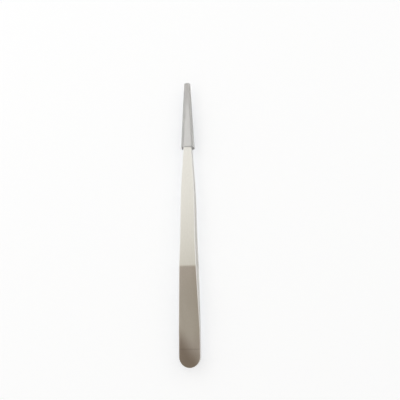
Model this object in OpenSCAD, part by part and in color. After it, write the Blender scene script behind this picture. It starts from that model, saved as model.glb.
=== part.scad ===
// Fine tip tweezers: two sprung steel arms welded together at the heel, lying broad side up,
// with a soft translucent cap pulled over the closed tips.
// Millimetres. The tips point along +Y and +Z is up. A distance d is measured from the heel.
// Each arm is one steel strip, modelled in two parts that meet where it flexes: a tang and an arm.

/* [Plan] */
// Length from the heel to the tips
arm_len = 120; // [105:1:160]
// Width of the round heel
heel_w = 8.8; // [8:0.1:12]
// Distance from the heel at which the shoulder ends and the waist starts
waist_start = 52; // [44:1:58]
// Width at the start of the waist
waist_w = 6.4; // [5.6:0.1:7.6]
// Length of the waist, which narrows only a little
waist_len = 22; // [16:1:32]
// How much narrower the waist is at its end
waist_taper = 0.5; // [0:0.1:1.2]
// Length over which the corner between the shoulder and the waist is rounded
shoulder_round = 10; // [2:1:20]
// Length over which the corner between the waist and the tip's taper is rounded
taper_round = 14; // [4:1:24]

/* [Strip] */
// Thickness of the steel strip
strip_t = 1.15; // [0.8:0.05:1.6]
// Radius on the outer edges of the strip
edge_r = 0.3; // [0.1:0.05:0.4]
// Chamfer on the inner edges of the strip
edge_c = 0.12; // [0.05:0.01:0.3]

/* [Side view] */
// Length of the flat part of the heel, where the two strips are welded together
weld_len = 9; // [7:0.5:16]
// Radius of the bend where the strips leave each other
bend_r = 50; // [20:1:60]
// Width of the split between a tang and its arm
flex_gap = 0.08; // [0.06:0.01:0.15]
// Distance from the heel of the crease where the arm turns back towards the tip
crease_pos = 39.8; // [34:0.1:48]
// Height of the centre line at the crease over the plane between the arms
crease_h = 3.7; // [3.2:0.1:5.5]
// Length over which the crease is rounded
crease_round = 1; // [0.5:0.5:10]
// Outward bow of each arm between its crease and its tip
arm_bow = 0.3; // [0:0.05:0.6]

/* [Tips] */
// Width of each tip
tip_w = 0.36; // [0.2:0.02:1]
// Thickness of each tip
tip_t = 0.28; // [0.2:0.02:0.6]
// Gap between the closed tips
tip_gap = 0.1; // [0.06:0.01:0.3]
// Length of the rounded point of each tip
tip_round = 0.35; // [0.2:0.05:1]

/* [Cap] */
// Length of the cap
cap_len = 32.8; // [24:0.1:40]
// How far the cap reaches past the tips
cap_over = 6.2; // [3:0.1:12]
// Wall of the cap
cap_wall = 0.45; // [0.3:0.05:0.8]
// Room between the flat of an arm and the mouth of the cap
cap_fit = 0.2; // [0.15:0.01:0.5]
// Room between the edge of an arm and the side of the mouth
cap_side_fit = 0.75; // [0.4:0.05:1.5]
// Width of the closed end of the cap
cap_end_w = 2.8; // [2.4:0.05:4]
// Height of the closed end of the cap
cap_end_h = 2.4; // [2.2:0.05:4]
// Thickness of the closed end of the cap
cap_end_t = 1; // [0.5:0.1:2]
// Radius on the closed end of the cap
cap_end_r = 0.6; // [0.5:0.05:0.8]
// Outward bow of the top and the bottom of the cap
cap_bow = 0.1; // [0:0.02:0.3]
// Squareness of the cap's section: 2 is an ellipse, and more is squarer
cap_square = 3.6; // [3.4:0.1:6]

/* [Hidden] */

$fn = 96;
corner_steps = 4;
rise_steps = 16;
crease_steps = 8;
fall_steps = 44;
tip_steps = 4;
cap_points = 40;
cap_steps = 12;
cap_round_steps = 5;
steel = [0.80, 0.80, 0.78];
steel_shade = [0.70, 0.70, 0.69];
vinyl = [0.74, 0.76, 0.77, 0.6];

// The strip's centre line runs flat through the weld, round the bend and straight on to the
// crease, so its slope there is that of a tangent from the crease to the bend's circle.
bend_mid_r = bend_r - strip_t / 2;
to_crease = [crease_pos - weld_len, crease_h - bend_r];
rise = atan2(to_crease[1], to_crease[0]) + asin(bend_mid_r / norm(to_crease));
tang_end = weld_len + bend_mid_r * sin(rise);
arm_start = tang_end + flex_gap * cos(rise);
waist_end = waist_start + waist_len;
waist_end_w = waist_w - waist_taper;
tip_mid = (tip_gap + tip_t) / 2;

// The lower or the higher of a and b, rounded off where they are less than k apart
function soft_min(a, b, k) =
    let (near = max(k - abs(a - b), 0) / k) min(a, b) - near * near * k / 4;
function soft_max(a, b, k) = -soft_min(-a, -b, k);
function mix(a, b, u) = a + (b - a) * u;
function clamp01(u) = min(max(u, 0), 1);

// Plan: a constant heel, a shoulder that narrows evenly, a waist, then a straight taper to the tip
shoulder_slope = (heel_w - waist_w) / 2 / (waist_start - arm_start);
waist_slope = waist_taper / 2 / waist_len;
taper_slope = (waist_end_w - tip_w) / 2 / (arm_len - waist_end);
shoulder_soft = (shoulder_slope - waist_slope) * shoulder_round / 2;
taper_soft = (taper_slope - waist_slope) * taper_round / 2;
function shoulder_half(d) = heel_w / 2 - (d - arm_start) * shoulder_slope;
function waist_half(d) = waist_w / 2 - (d - waist_start) * waist_slope;
function taper_half(d) = tip_w / 2 + (arm_len - d) * taper_slope;
function body_half(d) =
    min(soft_max(shoulder_half(d), waist_half(d), shoulder_soft), heel_w / 2);
function plan_half(d) = soft_min(body_half(d), taper_half(d), taper_soft);

// Side view: the two runs of an arm's centre line, which meet at the crease
rise_slope = tan(rise);
fall_slope = (crease_h - tip_mid) / (arm_len - crease_pos);
round_len = min(crease_round, 2 * (crease_pos - arm_start));
crease_soft = (rise_slope + fall_slope) * round_len / 2;
function rise_line(d) = crease_h + (d - crease_pos) * rise_slope;
function fall_line(d) =
    let (u = min((arm_len - d) / (arm_len - crease_pos), 1))
    crease_h - (d - crease_pos) * fall_slope + 4 * arm_bow * u * (1 - u);
function centre(d) = soft_min(rise_line(d), fall_line(d), crease_soft);
function lean(d) = atan((centre(d + 0.01) - centre(d)) / 0.01);
function thick(d) = mix(strip_t, tip_t, clamp01((d - crease_pos) / (arm_len - crease_pos)));
function outer(d) = centre(d) + thick(d) / 2 / cos(lean(d));

// Section of a strip in X and Z: rounded outer edges and chamfered inner edges
function section(w, z_in, z_out, r, c) = concat(
    [[-w + c, z_in], [w - c, z_in], [w, z_in + c]],
    [for (k = [0 : corner_steps]) let (a = 90 * k / corner_steps)
        [w - r + r * cos(a), z_out - r + r * sin(a)]],
    [for (k = [0 : corner_steps]) let (a = 90 + 90 * k / corner_steps)
        [-w + r + r * cos(a), z_out - r + r * sin(a)]],
    [[-w, z_in + c]]);

// Stations along an arm, close together over its crease and over the
// rounded point of its tip
crease_start = crease_pos - round_len / 2;
crease_end = crease_pos + round_len / 2;
point_start = arm_len - tip_round;
arm_stations = concat(
    [for (i = [0 : rise_steps - 1]) mix(arm_start, crease_start, i / rise_steps)],
    [for (i = [0 : crease_steps - 1]) mix(crease_start, crease_end, i / crease_steps)],
    [for (i = [0 : fall_steps]) mix(crease_end, point_start, i / fall_steps)],
    [for (i = [1 : tip_steps]) mix(point_start, arm_len, sin(90 * i / tip_steps))]);

// How much of its width and thickness the point of the tip keeps at d
function point_share(d) =
    let (u = clamp01((d - point_start) / tip_round)) 0.4 + 0.6 * sqrt(1 - u * u);

// Section of an arm at d, square to its centre line
function arm_ring(d) =
    let (w = plan_half(d) * point_share(d),
         h = thick(d) / 2 * point_share(d),
         r = min(edge_r, 1.2 * h, 0.7 * w),
         c = min(edge_c, 0.4 * h, 0.3 * w))
    [for (p = section(w, -h, h, r, c))
        [p[0], d - p[1] * sin(lean(d)), centre(d) + p[1] * cos(lean(d))]];
arm_rings = [for (d = arm_stations) arm_ring(d)];

// The lower crease lies on the plane at Z = 0, and the part is centred on the origin in X and Y
mid_z = max([for (ring = arm_rings, p = ring) p[2]]);
heel_y = -(arm_len + cap_over) / 2;

// Closed skin over rings of points that all have the same number of points
module loft(rings) {
    n = len(rings[0]);
    last = len(rings) - 1;
    sides = [for (i = [0 : last - 1], j = [0 : n - 1])
        let (a = i * n + j, b = i * n + (j + 1) % n)
        each [[a, b, b + n], [a, b + n, a + n]]];
    start = [[for (j = [n - 1 : -1 : 0]) j]];
    end = [[for (j = [0 : n - 1]) last * n + j]];
    polyhedron(points = [for (ring = rings) each ring], faces = concat(start, sides, end));
}

module strip_section(w) {
    polygon(section(w, 0, strip_t, edge_r, edge_c));
}

// Upper tang: a half-round heel, the flat welded run and the bend, on the plane between the arms
module tang() {
    r = heel_w / 2;
    translate([0, r, 0]) rotate(180)
        rotate_extrude(angle = 180)
            intersection() {
                strip_section(r);
                square([heel_w, 2 * strip_t]);
            }
    translate([0, weld_len, 0]) rotate([90, 0, 0])
        linear_extrude(weld_len - r) strip_section(r);
    translate([0, weld_len, bend_r]) rotate([0, 90, 0])
        rotate_extrude(angle = rise)
            translate([bend_r, 0]) rotate(90) strip_section(r);
}

// Inside and outside of the cap: half width and half height at a distance s from its mouth
mouth_d = arm_len + cap_over - cap_len;
mouth_half = [plan_half(mouth_d) + cap_side_fit, outer(mouth_d) + cap_fit] + [1, 1] * cap_wall;
end_half = [cap_end_w, cap_end_h] / 2;
function cap_outer(s) =
    let (u = s / cap_len) mix(mouth_half, end_half, u) + [0, cap_bow] * 4 * u * (1 - u);
function cap_inner(s) = cap_outer(s) - [1, 1] * cap_wall;
function signed_pow(v, p) = sign(v) * pow(abs(v), p);
function cap_ring(s, half) =
    [for (j = [0 : cap_points - 1]) let (a = -360 * j / cap_points)
        [half[0] * signed_pow(cos(a), 2 / cap_square),
         mouth_d + s,
         half[1] * signed_pow(sin(a), 2 / cap_square)]];

// Rings of a shell from the mouth to a blind end at s_end, where a radius r rounds it
function cap_shell(s_end, r, inside) = concat(
    [for (i = [0 : cap_steps]) let (s = (s_end - r) * i / cap_steps)
        cap_ring(s, inside ? cap_inner(s) : cap_outer(s))],
    [for (i = [1 : cap_round_steps])
        let (a = 90 * i / cap_round_steps, s = s_end - r + r * sin(a),
             half = inside ? cap_inner(s) : cap_outer(s))
        cap_ring(s, half - [1, 1] * r * (1 - cos(a)))]);
function backwards(list) = [for (i = [len(list) - 1 : -1 : 0]) list[i]];

module cap() {
    skin = cap_shell(cap_len, cap_end_r, false);
    bore = cap_shell(cap_len - cap_end_t, cap_end_r / 2, true);
    loft(concat(backwards(skin), bore));
}

module seated() {
    translate([0, heel_y, mid_z]) children();
}

module upper_tang() { color(steel_shade) seated() tang(); }
module lower_tang() { color(steel_shade) seated() mirror([0, 0, 1]) tang(); }
module upper_arm() { color(steel) seated() loft(arm_rings); }
module lower_arm() { color(steel) seated() mirror([0, 0, 1]) loft(arm_rings); }
module tip_cap() { color(vinyl) seated() cap(); }

upper_tang();
lower_tang();
upper_arm();
lower_arm();
tip_cap();
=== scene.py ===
import math

import bmesh
import bpy
from mathutils import Matrix, Vector


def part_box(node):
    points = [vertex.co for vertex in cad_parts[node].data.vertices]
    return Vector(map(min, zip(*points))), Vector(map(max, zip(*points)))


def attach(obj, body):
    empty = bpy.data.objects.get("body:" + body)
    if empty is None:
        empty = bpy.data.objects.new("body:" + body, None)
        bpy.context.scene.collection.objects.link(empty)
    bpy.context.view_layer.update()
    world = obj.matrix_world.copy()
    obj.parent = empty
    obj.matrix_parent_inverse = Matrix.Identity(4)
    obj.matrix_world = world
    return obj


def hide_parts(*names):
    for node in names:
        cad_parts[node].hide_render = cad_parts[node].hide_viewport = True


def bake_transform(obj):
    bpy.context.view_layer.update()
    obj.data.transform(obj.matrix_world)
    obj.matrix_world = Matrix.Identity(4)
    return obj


# Fine tip tweezers in satin steel with a milky cap over their closed tips, lying broad side up.
# Shapes are worked out in millimetres and turned into metres when a mesh is made. A distance d
# is measured along the tweezers from the heel, x across them, and z from the plane between the arms.

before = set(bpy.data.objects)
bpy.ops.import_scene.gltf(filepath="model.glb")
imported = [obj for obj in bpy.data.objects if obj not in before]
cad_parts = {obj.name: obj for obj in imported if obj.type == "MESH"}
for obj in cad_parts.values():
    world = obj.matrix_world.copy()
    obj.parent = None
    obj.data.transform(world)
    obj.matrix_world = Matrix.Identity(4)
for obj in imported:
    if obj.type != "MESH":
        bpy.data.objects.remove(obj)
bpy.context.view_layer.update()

MM = 0.001

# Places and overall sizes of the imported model
heel_low, heel_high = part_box("upper_tang")
arm_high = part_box("upper_arm")[1]
cap_low, cap_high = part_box("tip_cap")
HEEL_Y = heel_low.y
MID_Z = (cap_low.z + cap_high.z) / 2
ARM_LEN = (arm_high.y - HEEL_Y) / MM
HEEL_W = (heel_high.x - heel_low.x) / MM
MOUTH_D = (cap_low.y - HEEL_Y) / MM
CAP_LEN = (cap_high.y - cap_low.y) / MM

# Plan and strip
WAIST_START = 52
WAIST_W = 6.4
WAIST_LEN = 22
WAIST_TAPER = 0.5
SHOULDER_ROUND = 10
TAPER_ROUND = 14
STRIP_T = 1.15
EDGE_R = 0.3
INNER_EDGE_R = 0.12

# The most that an edge radius takes of half the thickness and of half the width
EDGE_LIMITS = (1.2, 0.7)
INNER_EDGE_LIMITS = (0.4, 0.3)

# Side view
WELD_LEN = 9
BEND_R = 50
FLEX_GAP = 0.08
CREASE_POS = 39.8
CREASE_H = 3.7
CREASE_ROUND = 1
ARM_BOW = 0.3

# Tips
TIP_W = 0.36
TIP_T = 0.28
TIP_GAP = 0.1
TIP_ROUND = 0.35
TIP_POINT_SHARE = 0.4

# Cap: the power of its rounded section is 2 for an ellipse, and more makes it squarer
CAP_WALL = 0.45
CAP_FIT = 0.2
CAP_SIDE_FIT = 0.75
CAP_END_W = 2.8
CAP_END_H = 2.4
CAP_END_T = 1
CAP_END_R = 0.6
CAP_BOW = 0.1
CAP_POWER = 3.6
CAP_RIM_R = 0.12

# Finish of the faces: how far polishing has rounded them off towards their edges
CROWN = 0.03
CROWN_POWER = 4

# Fineness of the meshes: columns across half a face, by share of its width, the steps in each
# stretch, and how far from the rounded crease the ring on either side of it stands
FACE_COLUMNS = (0, 0.3, 0.6, 0.85, 0.97, 1)
OUTER_CORNER_STEPS = 7
INNER_CORNER_STEPS = 3
HEEL_STEPS = 24
WELD_STEPS = 8
BEND_STEPS = 14
RISE_STEPS = 40
CREASE_STEPS = 12
CREASE_LOOP = 0.15
FALL_STEPS = 120
POINT_STEPS = 7
CAP_POINTS = 96
CAP_LENGTH_STEPS = 48
CAP_CORNER_STEPS = 8


def mix(a, b, u):
    return a + (b - a) * u


def clamp01(u):
    return min(max(u, 0), 1)


def soft_min(a, b, k):
    """The lower of a and b, rounded off where they are less than k apart."""
    near = max(k - abs(a - b), 0) / k
    return min(a, b) - near * near * k / 4


def soft_max(a, b, k):
    return -soft_min(-a, -b, k)


def spread(start, stop, steps):
    """Evenly spaced numbers from start up to, but not with, stop."""
    return [mix(start, stop, i / steps) for i in range(steps)]


# The strip's centre line runs flat through the weld, round the bend and straight on to the crease
bend_mid_r = BEND_R - STRIP_T / 2
to_crease = (CREASE_POS - WELD_LEN, CREASE_H - BEND_R)
rise = math.atan2(to_crease[1], to_crease[0]) + math.asin(bend_mid_r / math.hypot(*to_crease))
bend_end = WELD_LEN + bend_mid_r * math.sin(rise)
arm_start = bend_end + FLEX_GAP * math.cos(rise)
tip_mid = (TIP_GAP + TIP_T) / 2

shoulder_slope = (HEEL_W - WAIST_W) / 2 / (WAIST_START - arm_start)
waist_slope = WAIST_TAPER / 2 / WAIST_LEN
waist_end = WAIST_START + WAIST_LEN
taper_slope = (WAIST_W - WAIST_TAPER - TIP_W) / 2 / (ARM_LEN - waist_end)
shoulder_soft = (shoulder_slope - waist_slope) * SHOULDER_ROUND / 2
taper_soft = (taper_slope - waist_slope) * TAPER_ROUND / 2
rise_slope = math.tan(rise)
fall_slope = (CREASE_H - tip_mid) / (ARM_LEN - CREASE_POS)
crease_soft = (rise_slope + fall_slope) * CREASE_ROUND / 2


def plan_half(d):
    """Half the width of an arm: a constant heel, an even shoulder, a waist and the taper."""
    shoulder = HEEL_W / 2 - (d - arm_start) * shoulder_slope
    waist = WAIST_W / 2 - (d - WAIST_START) * waist_slope
    taper = TIP_W / 2 + (ARM_LEN - d) * taper_slope
    body = min(soft_max(shoulder, waist, shoulder_soft), HEEL_W / 2)
    return soft_min(body, taper, taper_soft)


def centre(d):
    """Height of the strip's centre line."""
    if d < WELD_LEN:
        return STRIP_T / 2
    if d < bend_end:
        return BEND_R - math.sqrt(bend_mid_r ** 2 - (d - WELD_LEN) ** 2)
    u = min((ARM_LEN - d) / (ARM_LEN - CREASE_POS), 1)
    rising = CREASE_H + (d - CREASE_POS) * rise_slope
    falling = CREASE_H - (d - CREASE_POS) * fall_slope + 4 * ARM_BOW * u * (1 - u)
    return soft_min(rising, falling, crease_soft)


def lean(d):
    """Angle at which the centre line rises."""
    step = 0.01
    return math.atan((centre(d + step) - centre(d)) / step)


def thick(d):
    return mix(STRIP_T, TIP_T, clamp01((d - CREASE_POS) / (ARM_LEN - CREASE_POS)))


def outer(d):
    """Height of the strip's outer face."""
    return centre(d) + thick(d) / 2 / math.cos(lean(d))


# Meshes

def mesh_piece(name, points, faces, shares):
    """A smooth closed mesh from points in millimetres, which it also keeps as rest_mm.

    shares holds the other numbers kept at each point, by name.
    """
    mesh = bpy.data.meshes.new(name)
    mesh.from_pydata([(x * MM, HEEL_Y + d * MM, MID_Z + z * MM) for x, d, z in points], [], faces)
    rest = mesh.attributes.new("rest_mm", "FLOAT_VECTOR", "POINT")
    rest.data.foreach_set("vector", [v for point in points for v in point])
    for label, values in shares.items():
        mesh.attributes.new(label, "FLOAT", "POINT").data.foreach_set("value", values)
    bm = bmesh.new()
    bm.from_mesh(mesh)
    bmesh.ops.remove_doubles(bm, verts=bm.verts, dist=1e-4 * MM)
    bmesh.ops.recalc_face_normals(bm, faces=bm.faces)
    bm.to_mesh(mesh)
    bm.free()
    mesh.shade_smooth()
    piece = bpy.data.objects.new(name, mesh)
    bpy.context.scene.collection.objects.link(piece)
    return piece


def loft_faces(rings, size, capped):
    """Faces between rings of size points each, with a face over both ends or only over the last."""
    faces = []
    for i in range(rings - 1):
        for j in range(size):
            a = i * size + j
            b = i * size + (j + 1) % size
            faces.append((a, b, b + size, a + size))
    last = (rings - 1) * size
    faces.append(tuple(last + j for j in range(size)))
    if capped:
        faces.append(tuple(range(size))[::-1])
    return faces


def half_section(w, h):
    """(x, z, edge, inner) from the middle of the inner face, round the edge, to the middle outside.

    w and h are half the width and half the thickness. edge is 0 on the faces and 1 on the edge,
    and inner is 1 on the inner face and 0 from the edge outwards.
    """
    r = min(EDGE_R, EDGE_LIMITS[0] * h, EDGE_LIMITS[1] * w)
    c = min(INNER_EDGE_R, INNER_EDGE_LIMITS[0] * h, INNER_EDGE_LIMITS[1] * w)
    inside = [(u * (w - c), -h, 0, 1) for u in FACE_COLUMNS[:-1]]
    for k in range(INNER_CORNER_STEPS + 1):
        u = k / INNER_CORNER_STEPS
        a = math.pi / 2 * u
        inside.append((w - c + c * math.sin(a), -h + c - c * math.cos(a), u, 1 - u))
    outside = []
    for k in range(OUTER_CORNER_STEPS + 1):
        u = k / OUTER_CORNER_STEPS
        a = math.pi / 2 * u
        outside.append((w - r + r * math.cos(a), h - r + r * math.sin(a), 1 - u, 0))
    outside += [(u * (w - r), h, 0, 0) for u in FACE_COLUMNS[-2::-1]]
    crown = CROWN * w / (HEEL_W / 2)
    return inside + [(x, z - crown * (x / w) ** CROWN_POWER, *shares) for x, z, *shares in outside]


def both_halves(half):
    """A closed ring from a half section: the half itself, then its mirror image, backwards."""
    return [(1, *point) for point in half] + [(-1, *point) for point in half[-2:0:-1]]


def heel_ring(angle):
    """The section turned about the middle of the round heel: 0 is at the very end."""
    r = HEEL_W / 2
    ring = both_halves(half_section(r, STRIP_T / 2))
    return [(side * x * math.sin(angle), r - x * math.cos(angle), STRIP_T / 2 + z, *shares)
            for side, x, z, *shares in ring]


def arm_ring(d):
    """The section at d, square to the centre line and smaller over the rounded point of the tip."""
    u = clamp01((d - (ARM_LEN - TIP_ROUND)) / TIP_ROUND)
    share = mix(TIP_POINT_SHARE, 1, math.sqrt(1 - u * u))
    ring = both_halves(half_section(plan_half(d) * share, thick(d) / 2 * share))
    tilt = lean(d)
    return [(side * x, d - z * math.sin(tilt), centre(d) + z * math.cos(tilt), *shares)
            for side, x, z, *shares in ring]


def arm_stations():
    """Where the rings past the round heel stand: close together at the crease and at the point."""
    crease_start = CREASE_POS - CREASE_ROUND / 2
    crease_end = CREASE_POS + CREASE_ROUND / 2
    point_start = ARM_LEN - TIP_ROUND
    stretches = (
        (HEEL_W / 2, WELD_LEN, WELD_STEPS),
        (WELD_LEN, bend_end, BEND_STEPS),
        (bend_end, crease_start - CREASE_LOOP, RISE_STEPS),
        (crease_start - CREASE_LOOP, crease_start, 1),
        (crease_start, crease_end, CREASE_STEPS),
        (crease_end, crease_end + CREASE_LOOP, 1),
        (crease_end + CREASE_LOOP, point_start, FALL_STEPS),
    )
    stations = [d for stretch in stretches for d in spread(*stretch)]
    quarter = [math.sin(math.pi / 2 * i / POINT_STEPS) for i in range(POINT_STEPS + 1)]
    return stations + [mix(point_start, ARM_LEN, u) for u in quarter]


def arm(name, side):
    """One whole strip, from the heel to the tip: side is 1 for the upper and -1 for the lower."""
    rings = [heel_ring(math.pi / 2 * i / HEEL_STEPS) for i in range(HEEL_STEPS)]
    rings += [arm_ring(d) for d in arm_stations()]
    points = [p for ring in rings for p in ring]
    faces = loft_faces(len(rings), len(rings[0]), capped=False)
    places = [(x, d, side * z) for x, d, z, edge, inner in points]
    return mesh_piece(name, places, faces, {
        "edge": [edge for x, d, z, edge, inner in points],
        "inner": [inner for x, d, z, edge, inner in points],
    })


mouth_half = (plan_half(MOUTH_D) + CAP_SIDE_FIT + CAP_WALL, outer(MOUTH_D) + CAP_FIT + CAP_WALL)


def signed_power(v, p):
    return math.copysign(abs(v) ** p, v)


def cap_ring(s, shrink):
    """A ring of the cap at a distance s from its mouth, shrunk from the outside all round."""
    u = s / CAP_LEN
    bow = CAP_BOW * 4 * u * (1 - u)
    half_w = mix(mouth_half[0], CAP_END_W / 2, u) - shrink
    half_h = mix(mouth_half[1], CAP_END_H / 2, u) + bow - shrink
    ring = []
    for j in range(CAP_POINTS):
        a = 2 * math.pi * j / CAP_POINTS
        x = half_w * signed_power(math.cos(a), 2 / CAP_POWER)
        z = half_h * signed_power(math.sin(a), 2 / CAP_POWER)
        ring.append((x, MOUTH_D + s, z))
    return ring


def cap_shell(s_end, end_r, shrink):
    """Rings from behind the rim to the closed end, which has a radius of end_r."""
    rings = [cap_ring(s, shrink) for s in spread(CAP_RIM_R, s_end - end_r, CAP_LENGTH_STEPS)]
    for i in range(CAP_CORNER_STEPS + 1):
        a = math.pi / 2 * i / CAP_CORNER_STEPS
        rings.append(cap_ring(s_end - end_r + end_r * math.sin(a), shrink + end_r * (1 - math.cos(a))))
    return rings


def cap():
    """The cap as one closed skin: outside, round the rim of its mouth, then the bore."""
    outside = cap_shell(CAP_LEN, CAP_END_R, 0)
    bore = cap_shell(CAP_LEN - CAP_END_T, CAP_END_R / 2, CAP_WALL)
    half_wall = CAP_WALL / 2
    rim = []
    for i in range(1, CAP_CORNER_STEPS):
        a = math.pi * i / CAP_CORNER_STEPS
        rim.append(cap_ring(CAP_RIM_R * (1 - math.sin(a)), half_wall - half_wall * math.cos(a)))
    rings = outside[::-1] + rim + bore
    points = [p for ring in rings for p in ring]
    faces = loft_faces(len(rings), CAP_POINTS, capped=True)
    return mesh_piece("tip_cap_vinyl", points, faces, {})


# Materials

class Nodes:
    """A small helper that adds shader nodes to one tree and links them."""

    def __init__(self, tree):
        self.tree = tree
        tree.nodes.clear()

    def add(self, kind, **settings):
        node = self.tree.nodes.new(kind)
        for key, value in settings.items():
            setattr(node, key, value)
        return node

    def link(self, source, target):
        self.tree.links.new(source, target)

    def noise(self, vector, detail, roughness=0.5):
        node = self.add("ShaderNodeTexNoise")
        node.inputs["Scale"].default_value = 1
        node.inputs["Detail"].default_value = detail
        node.inputs["Roughness"].default_value = roughness
        self.link(vector, node.inputs["Vector"])
        return node.outputs["Fac"]

    def stretched(self, vector, scale):
        node = self.add("ShaderNodeMapping")
        node.inputs["Scale"].default_value = scale
        self.link(vector, node.inputs["Vector"])
        return node.outputs["Vector"]

    def separate(self, vector):
        """The X, Y and Z of a vector, by name."""
        node = self.add("ShaderNodeSeparateXYZ")
        self.link(vector, node.inputs["Vector"])
        return node.outputs

    def math(self, operation, *values):
        node = self.add("ShaderNodeMath", operation=operation)
        for socket, value in zip(node.inputs, values):
            if isinstance(value, (int, float)):
                socket.default_value = value
            else:
                self.link(value, socket)
        return node.outputs[0]

    def remap(self, value, low, high, new_low, new_high, smooth=False):
        node = self.add("ShaderNodeMapRange")
        node.interpolation_type = "SMOOTHSTEP" if smooth else "LINEAR"
        node.inputs["From Min"].default_value = low
        node.inputs["From Max"].default_value = high
        node.inputs["To Min"].default_value = new_low
        node.inputs["To Max"].default_value = new_high
        self.link(value, node.inputs["Value"])
        return node.outputs["Result"]

    def mix_colour(self, factor, a, b):
        node = self.add("ShaderNodeMix", data_type="RGBA")
        self.link(factor, node.inputs["Factor"])
        for key, value in (("A", a), ("B", b)):
            socket = next(s for s in node.inputs if s.name == key and s.type == "RGBA")
            if isinstance(value, tuple):
                socket.default_value = (*value, 1)
            else:
                self.link(value, socket)
        return next(s for s in node.outputs if s.type == "RGBA")

    def mix_shader(self, factor, a, b):
        node = self.add("ShaderNodeMixShader")
        self.link(factor, node.inputs["Fac"])
        self.link(a, node.inputs[1])
        self.link(b, node.inputs[2])
        return node.outputs["Shader"]

    def scaled(self, colour, factor):
        node = self.add("ShaderNodeVectorMath", operation="SCALE")
        self.link(colour, node.inputs[0])
        self.link(factor, node.inputs["Scale"])
        return node.outputs["Vector"]

    def attribute(self, name):
        return self.add("ShaderNodeAttribute", attribute_name=name)

    def bump(self, height, distance, normal=None):
        node = self.add("ShaderNodeBump")
        node.inputs["Distance"].default_value = distance
        self.link(height, node.inputs["Height"])
        if normal is not None:
            self.link(normal, node.inputs["Normal"])
        return node.outputs["Normal"]

    def output(self, kind, surface):
        self.link(surface, self.add(kind).inputs["Surface"])


def new_material(name, inputs):
    """(material, its nodes, its Principled shader), with the shader's inputs set by name."""
    material = bpy.data.materials.new(name)
    material.use_nodes = True
    nodes = Nodes(material.node_tree)
    shader = nodes.add("ShaderNodeBsdfPrincipled")
    for key, value in inputs.items():
        shader.inputs[key].default_value = value
    return material, nodes, shader


# The middle of a noise, which holds most of its values
NOISE_MIDDLE = (0.3, 0.7)

# Steel: the faces before the crease, with their haze, and after it, painted lighter as a painted
# reflection, then the painted shade of the heel's darker end, the inner faces painted lighter against
# the shade between the arms, and the painted highlight on the corners and painted shade on the sides
# of the edges
HAZY_TONES = ((0.74, 0.73, 0.71), (0.80, 0.795, 0.78))
PAINTED_REFLECTION_TONE = (0.84, 0.83, 0.81)
HEEL_PAINTED_SHADE = (0.44, 0.395, 0.355)
INNER_PAINTED_LIGHT = (0.95, 0.95, 0.94)
INNER_LIGHT_SHARE = 0.9
CORNER_PAINTED_HIGHLIGHT = (0.97, 0.97, 0.96)
SIDE_PAINTED_SHADE = (0.54, 0.535, 0.52)
SIDE_SHADE_FADE = (0.7, 1)

# Where the tones change, by distance from the heel: the painted shade of its end fades at a slant, a
# faint line crosses it, and the faces are painted lighter towards the crease, a painted reflection
HEEL_SHADE_SLANT = 1.25
HEEL_SHADE_FADE = (2.5, 13)
HEEL_LINE_D = 7.15
HEEL_LINE_W = 0.45
HEEL_LINE_SHADE = 0.86
FACE_PAINTED_LIGHTER = (26, 40)

# Texture of the steel, per millimetre across, along and up, and its depth in metres
GRAIN_SCALE = (14, 0.35, 14)
GRAIN_SHADE = (0.95, 1.05)
GRAIN_DEPTH = 0.0000004
SCRATCH_SCALE = (5, 0.09, 5)
SCRATCH_FADE = (0.66, 0.72)
SCRATCH_DEPTH = 0.0000012
HAZE_SCALE = (0.35, 0.08, 0.35)

# Roughness of the steel, and what haze, scratches and the inner faces add to it
STEEL_ROUGHNESS = (0.295, 0.325)
HAZE_ROUGHNESS = (-0.01, 0.015)
SCRATCH_ROUGHNESS = 0.04
INNER_ROUGHNESS = 0.4


def steel_colour(n, place, grain, haze, inner):
    """The tones along the steel, with the painted shade of the heel and the painted reflection towards
    and past the crease, then the painted light of its inner faces, the painted highlight of its
    corners and the painted shade of its sides.
    """
    axes = n.separate(place)
    slanted = n.math("MULTIPLY_ADD", axes["X"], HEEL_SHADE_SLANT, axes["Y"])
    # Painted shade: the heel's end is coloured darker, fading at a slant
    heel = n.remap(slanted, *HEEL_SHADE_FADE, 1, 0, smooth=True)
    # Painted reflection: the faces are coloured lighter towards and past the crease
    painted_reflection = n.remap(axes["Y"], *FACE_PAINTED_LIGHTER, 0, 1, smooth=True)
    face = n.mix_colour(painted_reflection, n.mix_colour(haze, *HAZY_TONES), PAINTED_REFLECTION_TONE)
    toned = n.mix_colour(heel, face, HEEL_PAINTED_SHADE)
    off_line = n.math("ABSOLUTE", n.math("SUBTRACT", axes["Y"], HEEL_LINE_D))
    lined = n.remap(off_line, 0, HEEL_LINE_W, HEEL_LINE_SHADE, 1, smooth=True)
    shade = n.remap(grain, *NOISE_MIDDLE, *GRAIN_SHADE)
    grained = n.scaled(toned, n.math("MULTIPLY", lined, shade))
    # Painted light: the inner faces are coloured lighter against the shade between the arms
    inside = n.mix_colour(n.math("MULTIPLY", inner, INNER_LIGHT_SHARE), grained, INNER_PAINTED_LIGHT)

    # A corner is half way between a face, where edge is 0, and a side, where it is 1
    edge = n.attribute("edge").outputs["Fac"]
    corner = n.math("MULTIPLY", n.math("MULTIPLY", edge, 4), n.math("SUBTRACT", 1, edge))
    # Painted highlight: the corners of the edges are coloured near white
    highlighted = n.mix_colour(corner, inside, CORNER_PAINTED_HIGHLIGHT)
    # Painted shade: the sides of the edges are coloured darker grey
    side = n.remap(edge, *SIDE_SHADE_FADE, 0, 1, smooth=True)
    return n.mix_colour(side, highlighted, SIDE_PAINTED_SHADE)


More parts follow.
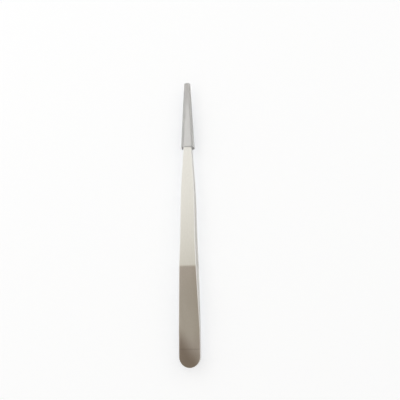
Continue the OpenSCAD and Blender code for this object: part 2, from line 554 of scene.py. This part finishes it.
def satin_steel():
    """Stainless steel with a fine lengthwise grain, haze and faint scratches, and painted highlights,
    reflections and shade in its colour.
    """
    material, n, shader = new_material("satin_steel", {"Metallic": 1, "Anisotropic": 0.6})
    place = n.attribute("rest_mm").outputs["Vector"]
    inner = n.attribute("inner").outputs["Fac"]
    grain = n.noise(n.stretched(place, GRAIN_SCALE), 3, 0.6)
    scratches = n.remap(n.noise(n.stretched(place, SCRATCH_SCALE), 2), *SCRATCH_FADE, 0, 1)
    haze = n.noise(n.stretched(place, HAZE_SCALE), 3)
    n.link(steel_colour(n, place, grain, haze, inner), shader.inputs["Base Color"])

    satin = n.remap(grain, *NOISE_MIDDLE, *STEEL_ROUGHNESS)
    hazed = n.math("ADD", satin, n.remap(haze, *NOISE_MIDDLE, *HAZE_ROUGHNESS))
    scratched = n.math("MULTIPLY_ADD", scratches, SCRATCH_ROUGHNESS, hazed)
    n.link(n.math("MULTIPLY_ADD", inner, INNER_ROUGHNESS, scratched), shader.inputs["Roughness"])
    n.link(n.bump(scratches, SCRATCH_DEPTH, n.bump(grain, GRAIN_DEPTH)), shader.inputs["Normal"])

    # The grain runs along the tweezers, so reflections are drawn out across them
    normal = n.add("ShaderNodeNewGeometry").outputs["Normal"]
    across = n.add("ShaderNodeVectorMath", operation="CROSS_PRODUCT")
    across.inputs[1].default_value = (0, 1, 0.1)
    n.link(normal, across.inputs[0])
    n.link(across.outputs["Vector"], shader.inputs["Tangent"])
    n.output("ShaderNodeOutputMaterial", shader.outputs["BSDF"])
    return material


# Vinyl: the sleeve, with its clouds, and the painted shade of the closed end, from a share of the
# cap's length onwards
SLEEVE_TONES = ((0.97, 0.975, 0.98), (0.99, 0.99, 0.99))
CLOSED_END_PAINTED_SHADE = (0.90, 0.895, 0.895)
CLOSED_SHADE_FROM = 0.5
CLOUD_SCALE = (0.5, 0.15, 0.5)
MARK_SCALE = (1.2, 0.08, 1.2)
MARK_DEPTH = 0.0000004
VINYL_ROUGHNESS = (0.29, 0.32)


def milky_vinyl():
    """Soft, milky, see-through vinyl, a little cloudy, with faint marks of its moulding and a painted
    shade over its closed end.
    """
    material, n, shader = new_material("milky_vinyl", {
        "Transmission Weight": 0.72,
        "IOR": 1.4,
        "Coat Weight": 0.15,
        "Coat Roughness": 0.3,
    })
    place = n.attribute("rest_mm").outputs["Vector"]
    clouds = n.noise(n.stretched(place, CLOUD_SCALE), 3)
    marks = n.noise(n.stretched(place, MARK_SCALE), 2)
    cloudy = n.mix_colour(clouds, *SLEEVE_TONES)
    # Painted shade: the closed end of the cap is coloured greyer
    end_shade_fade = (MOUTH_D + CLOSED_SHADE_FROM * CAP_LEN, MOUTH_D + CAP_LEN)
    closed = n.remap(n.separate(place)["Y"], *end_shade_fade, 0, 1, smooth=True)
    n.link(n.mix_colour(closed, cloudy, CLOSED_END_PAINTED_SHADE), shader.inputs["Base Color"])
    n.link(n.remap(marks, *NOISE_MIDDLE, *VINYL_ROUGHNESS), shader.inputs["Roughness"])
    n.link(n.bump(marks, MARK_DEPTH), shader.inputs["Normal"])
    n.output("ShaderNodeOutputMaterial", shader.outputs["BSDF"])
    return material


# Floor: its colour, what the vinyl shows of it, the light added for the viewer and in the steel, the
# distances in metres over which it turns white, and how far it reaches
FLOOR_COLOUR = (0.85, 0.86, 0.88)
FLOOR_THROUGH_VINYL = (0.62, 0.62, 0.62)
FLOOR_LIFT = (0.38, 0.395, 0.42)
FLOOR_WHITENS = (0.15, 0.5)
FLOOR_REACH = 3


def pale_floor():
    """A plain matt floor, near white to the viewer and in the steel, and greyer through the vinyl."""
    material, n, shader = new_material("pale_floor", {"Roughness": 0.9, "Specular IOR Level": 0.1})
    path = n.add("ShaderNodeLightPath").outputs
    colour = n.mix_colour(path["Is Transmission Ray"], FLOOR_COLOUR, FLOOR_THROUGH_VINYL)
    n.link(colour, shader.inputs["Base Color"])
    mirrored = n.math("SUBTRACT", path["Is Glossy Ray"], path["Is Transmission Ray"])
    seen = n.math("MAXIMUM", path["Is Camera Ray"], mirrored)
    lift = n.add("ShaderNodeEmission")
    lift.inputs["Color"].default_value = (*FLOOR_LIFT, 1)
    n.link(seen, lift.inputs["Strength"])
    near = n.add("ShaderNodeAddShader")
    n.link(shader.outputs["BSDF"], near.inputs[0])
    n.link(lift.outputs["Emission"], near.inputs[1])
    white = n.add("ShaderNodeEmission")
    distance = n.add("ShaderNodeVectorMath", operation="LENGTH")
    n.link(n.add("ShaderNodeTexCoord").outputs["Object"], distance.inputs[0])
    far = n.remap(distance.outputs["Value"], *FLOOR_WHITENS, 0, 1, smooth=True)
    share = n.math("MULTIPLY", far, seen)
    whitened = n.mix_shader(share, near.outputs["Shader"], white.outputs["Emission"])
    n.output("ShaderNodeOutputMaterial", whitened)
    return material


# Pieces

steel = satin_steel()
vinyl = milky_vinyl()


upper = arm("upper_arm_steel", 1)
lower = arm("lower_arm_steel", -1)
for piece in (upper, lower):
    piece.data.materials.append(steel)
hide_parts("upper_tang", "upper_arm")
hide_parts("lower_tang", "lower_arm")
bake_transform(upper)
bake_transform(lower)

sleeve = cap()
sleeve.data.materials.append(vinyl)
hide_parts("tip_cap")
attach(sleeve, "tip_cap")


# Floor, light and camera

# Lamps: name, place and the length of a side in metres, and watts
LAMPS = (
    ("key", (-0.55, 0.20, 0.44), 1.2, 2.2),
    ("fill", (0.42, 0.20, 0.62), 0.9, 1.0),
)

# Colours of the room by how far towards +Y they lie, as the sine of that angle
ROOM_COLOURS = (
    (-1.00, (0.77, 0.75, 0.72)),
    (-0.65, (0.72, 0.70, 0.67)),
    (-0.36, (0.35, 0.29, 0.22)),
    (-0.17, (0.32, 0.285, 0.20)),
    (-0.09, (0.11, 0.03, 0.02)),
    (0.05, (0.31, 0.27, 0.17)),
    (0.20, (0.54, 0.52, 0.45)),
    (0.65, (0.54, 0.53, 0.48)),
    (0.80, (0.76, 0.76, 0.74)),
    (1.00, (0.84, 0.85, 0.84)),
)

# The horizon has one colour, which fades into the room between two heights, given as sines. Low
# down the steel mirrors the white background instead, and that fades too.
HORIZON_COLOUR = (0.70, 0.70, 0.69)
HORIZON_FADE = (0.15, 0.5)
MIRRORED_FADE = (0.05, 0.25)

# Towards -X, behind the key lamp, the room is darker
BEHIND_KEY_SHARE = 0.4
BEHIND_KEY_FADE = (-0.85, -0.4)

# The viewer's place: tilt back from straight down, swing towards +X and turn in the picture, in
# degrees, then the distance to the point looked at, and that point, in millimetres
CAMERA_TILT = 14.69
CAMERA_SWING = 7.71
CAMERA_TURN = -1.01
CAMERA_DISTANCE = 175.62
LOOK_AT = (5.13, 68.75, 0)
LENS = 36
SENSOR = 36
CLIP_START = 0.001


def floor():
    r = FLOOR_REACH
    mesh = bpy.data.meshes.new("floor")
    mesh.from_pydata([(-r, -r, 0), (r, -r, 0), (r, r, 0), (-r, r, 0)], [], [(0, 1, 2, 3)])
    mesh.materials.append(pale_floor())
    piece = bpy.data.objects.new("floor", mesh)
    bpy.context.scene.collection.objects.link(piece)


def softbox(name, place, size, watts):
    """A large square lamp at place, facing the middle of the floor."""
    light = bpy.data.lights.new(name, "AREA")
    light.shape = "SQUARE"
    light.size = size
    light.energy = watts
    lamp = bpy.data.objects.new(name, light)
    lamp.location = place
    lamp.rotation_euler = (-Vector(place)).to_track_quat("-Z", "Y").to_euler()
    bpy.context.scene.collection.objects.link(lamp)


def surroundings():
    """A toned room that lights the steel, seen as plain white by the viewer and through the vinyl."""
    world = bpy.data.worlds.new("surroundings")
    bpy.context.scene.world = world
    world.use_nodes = True
    n = Nodes(world.node_tree)
    axes = n.separate(n.add("ShaderNodeTexCoord").outputs["Generated"])
    ramp = n.add("ShaderNodeValToRGB")
    stops = ramp.color_ramp.elements
    while len(stops) < len(ROOM_COLOURS):
        stops.new(0.5)
    for stop, (place, colour) in zip(stops, ROOM_COLOURS):
        stop.position = (place + 1) / 2
        stop.color = (*colour, 1)
    n.link(n.remap(axes["Y"], -1, 1, 0, 1), ramp.inputs["Fac"])
    horizon = n.remap(axes["Z"], *HORIZON_FADE, 1, 0, smooth=True)
    toned = n.mix_colour(horizon, ramp.outputs["Color"], HORIZON_COLOUR)
    behind_key = n.remap(axes["X"], *BEHIND_KEY_FADE, BEHIND_KEY_SHARE, 1, smooth=True)
    room = n.add("ShaderNodeBackground")
    n.link(n.scaled(toned, behind_key), room.inputs["Color"])
    white = n.add("ShaderNodeBackground")
    white.inputs["Color"].default_value = (1, 1, 1, 1)

    path = n.add("ShaderNodeLightPath").outputs
    direct = n.math("MAXIMUM", path["Is Camera Ray"], path["Is Transmission Ray"])
    low = n.remap(axes["Z"], *MIRRORED_FADE, 1, 0, smooth=True)
    mirrored = n.math("MULTIPLY", path["Is Glossy Ray"], low)
    seen_white = n.math("MAXIMUM", direct, mirrored)
    both = n.mix_shader(seen_white, room.outputs["Background"], white.outputs["Background"])
    n.output("ShaderNodeOutputWorld", both)


def camera():
    data = bpy.data.cameras.new("camera")
    data.lens = LENS
    data.sensor_width = SENSOR
    data.clip_start = CLIP_START
    view = bpy.data.objects.new("camera", data)
    turn = (Matrix.Rotation(math.radians(CAMERA_SWING), 4, "Y")
            @ Matrix.Rotation(math.radians(CAMERA_TILT), 4, "X")
            @ Matrix.Rotation(math.radians(CAMERA_TURN), 4, "Z"))
    x, d, z = LOOK_AT
    target = Vector((x * MM, HEEL_Y + d * MM, MID_Z + z * MM))
    back = Matrix.Translation((0, 0, CAMERA_DISTANCE * MM))
    view.matrix_world = Matrix.Translation(target) @ turn @ back
    bpy.context.scene.collection.objects.link(view)
    bpy.context.scene.camera = view


floor()
surroundings()
for lamp in LAMPS:
    softbox(*lamp)
camera()
bpy.context.scene.view_settings.view_transform = "Standard"
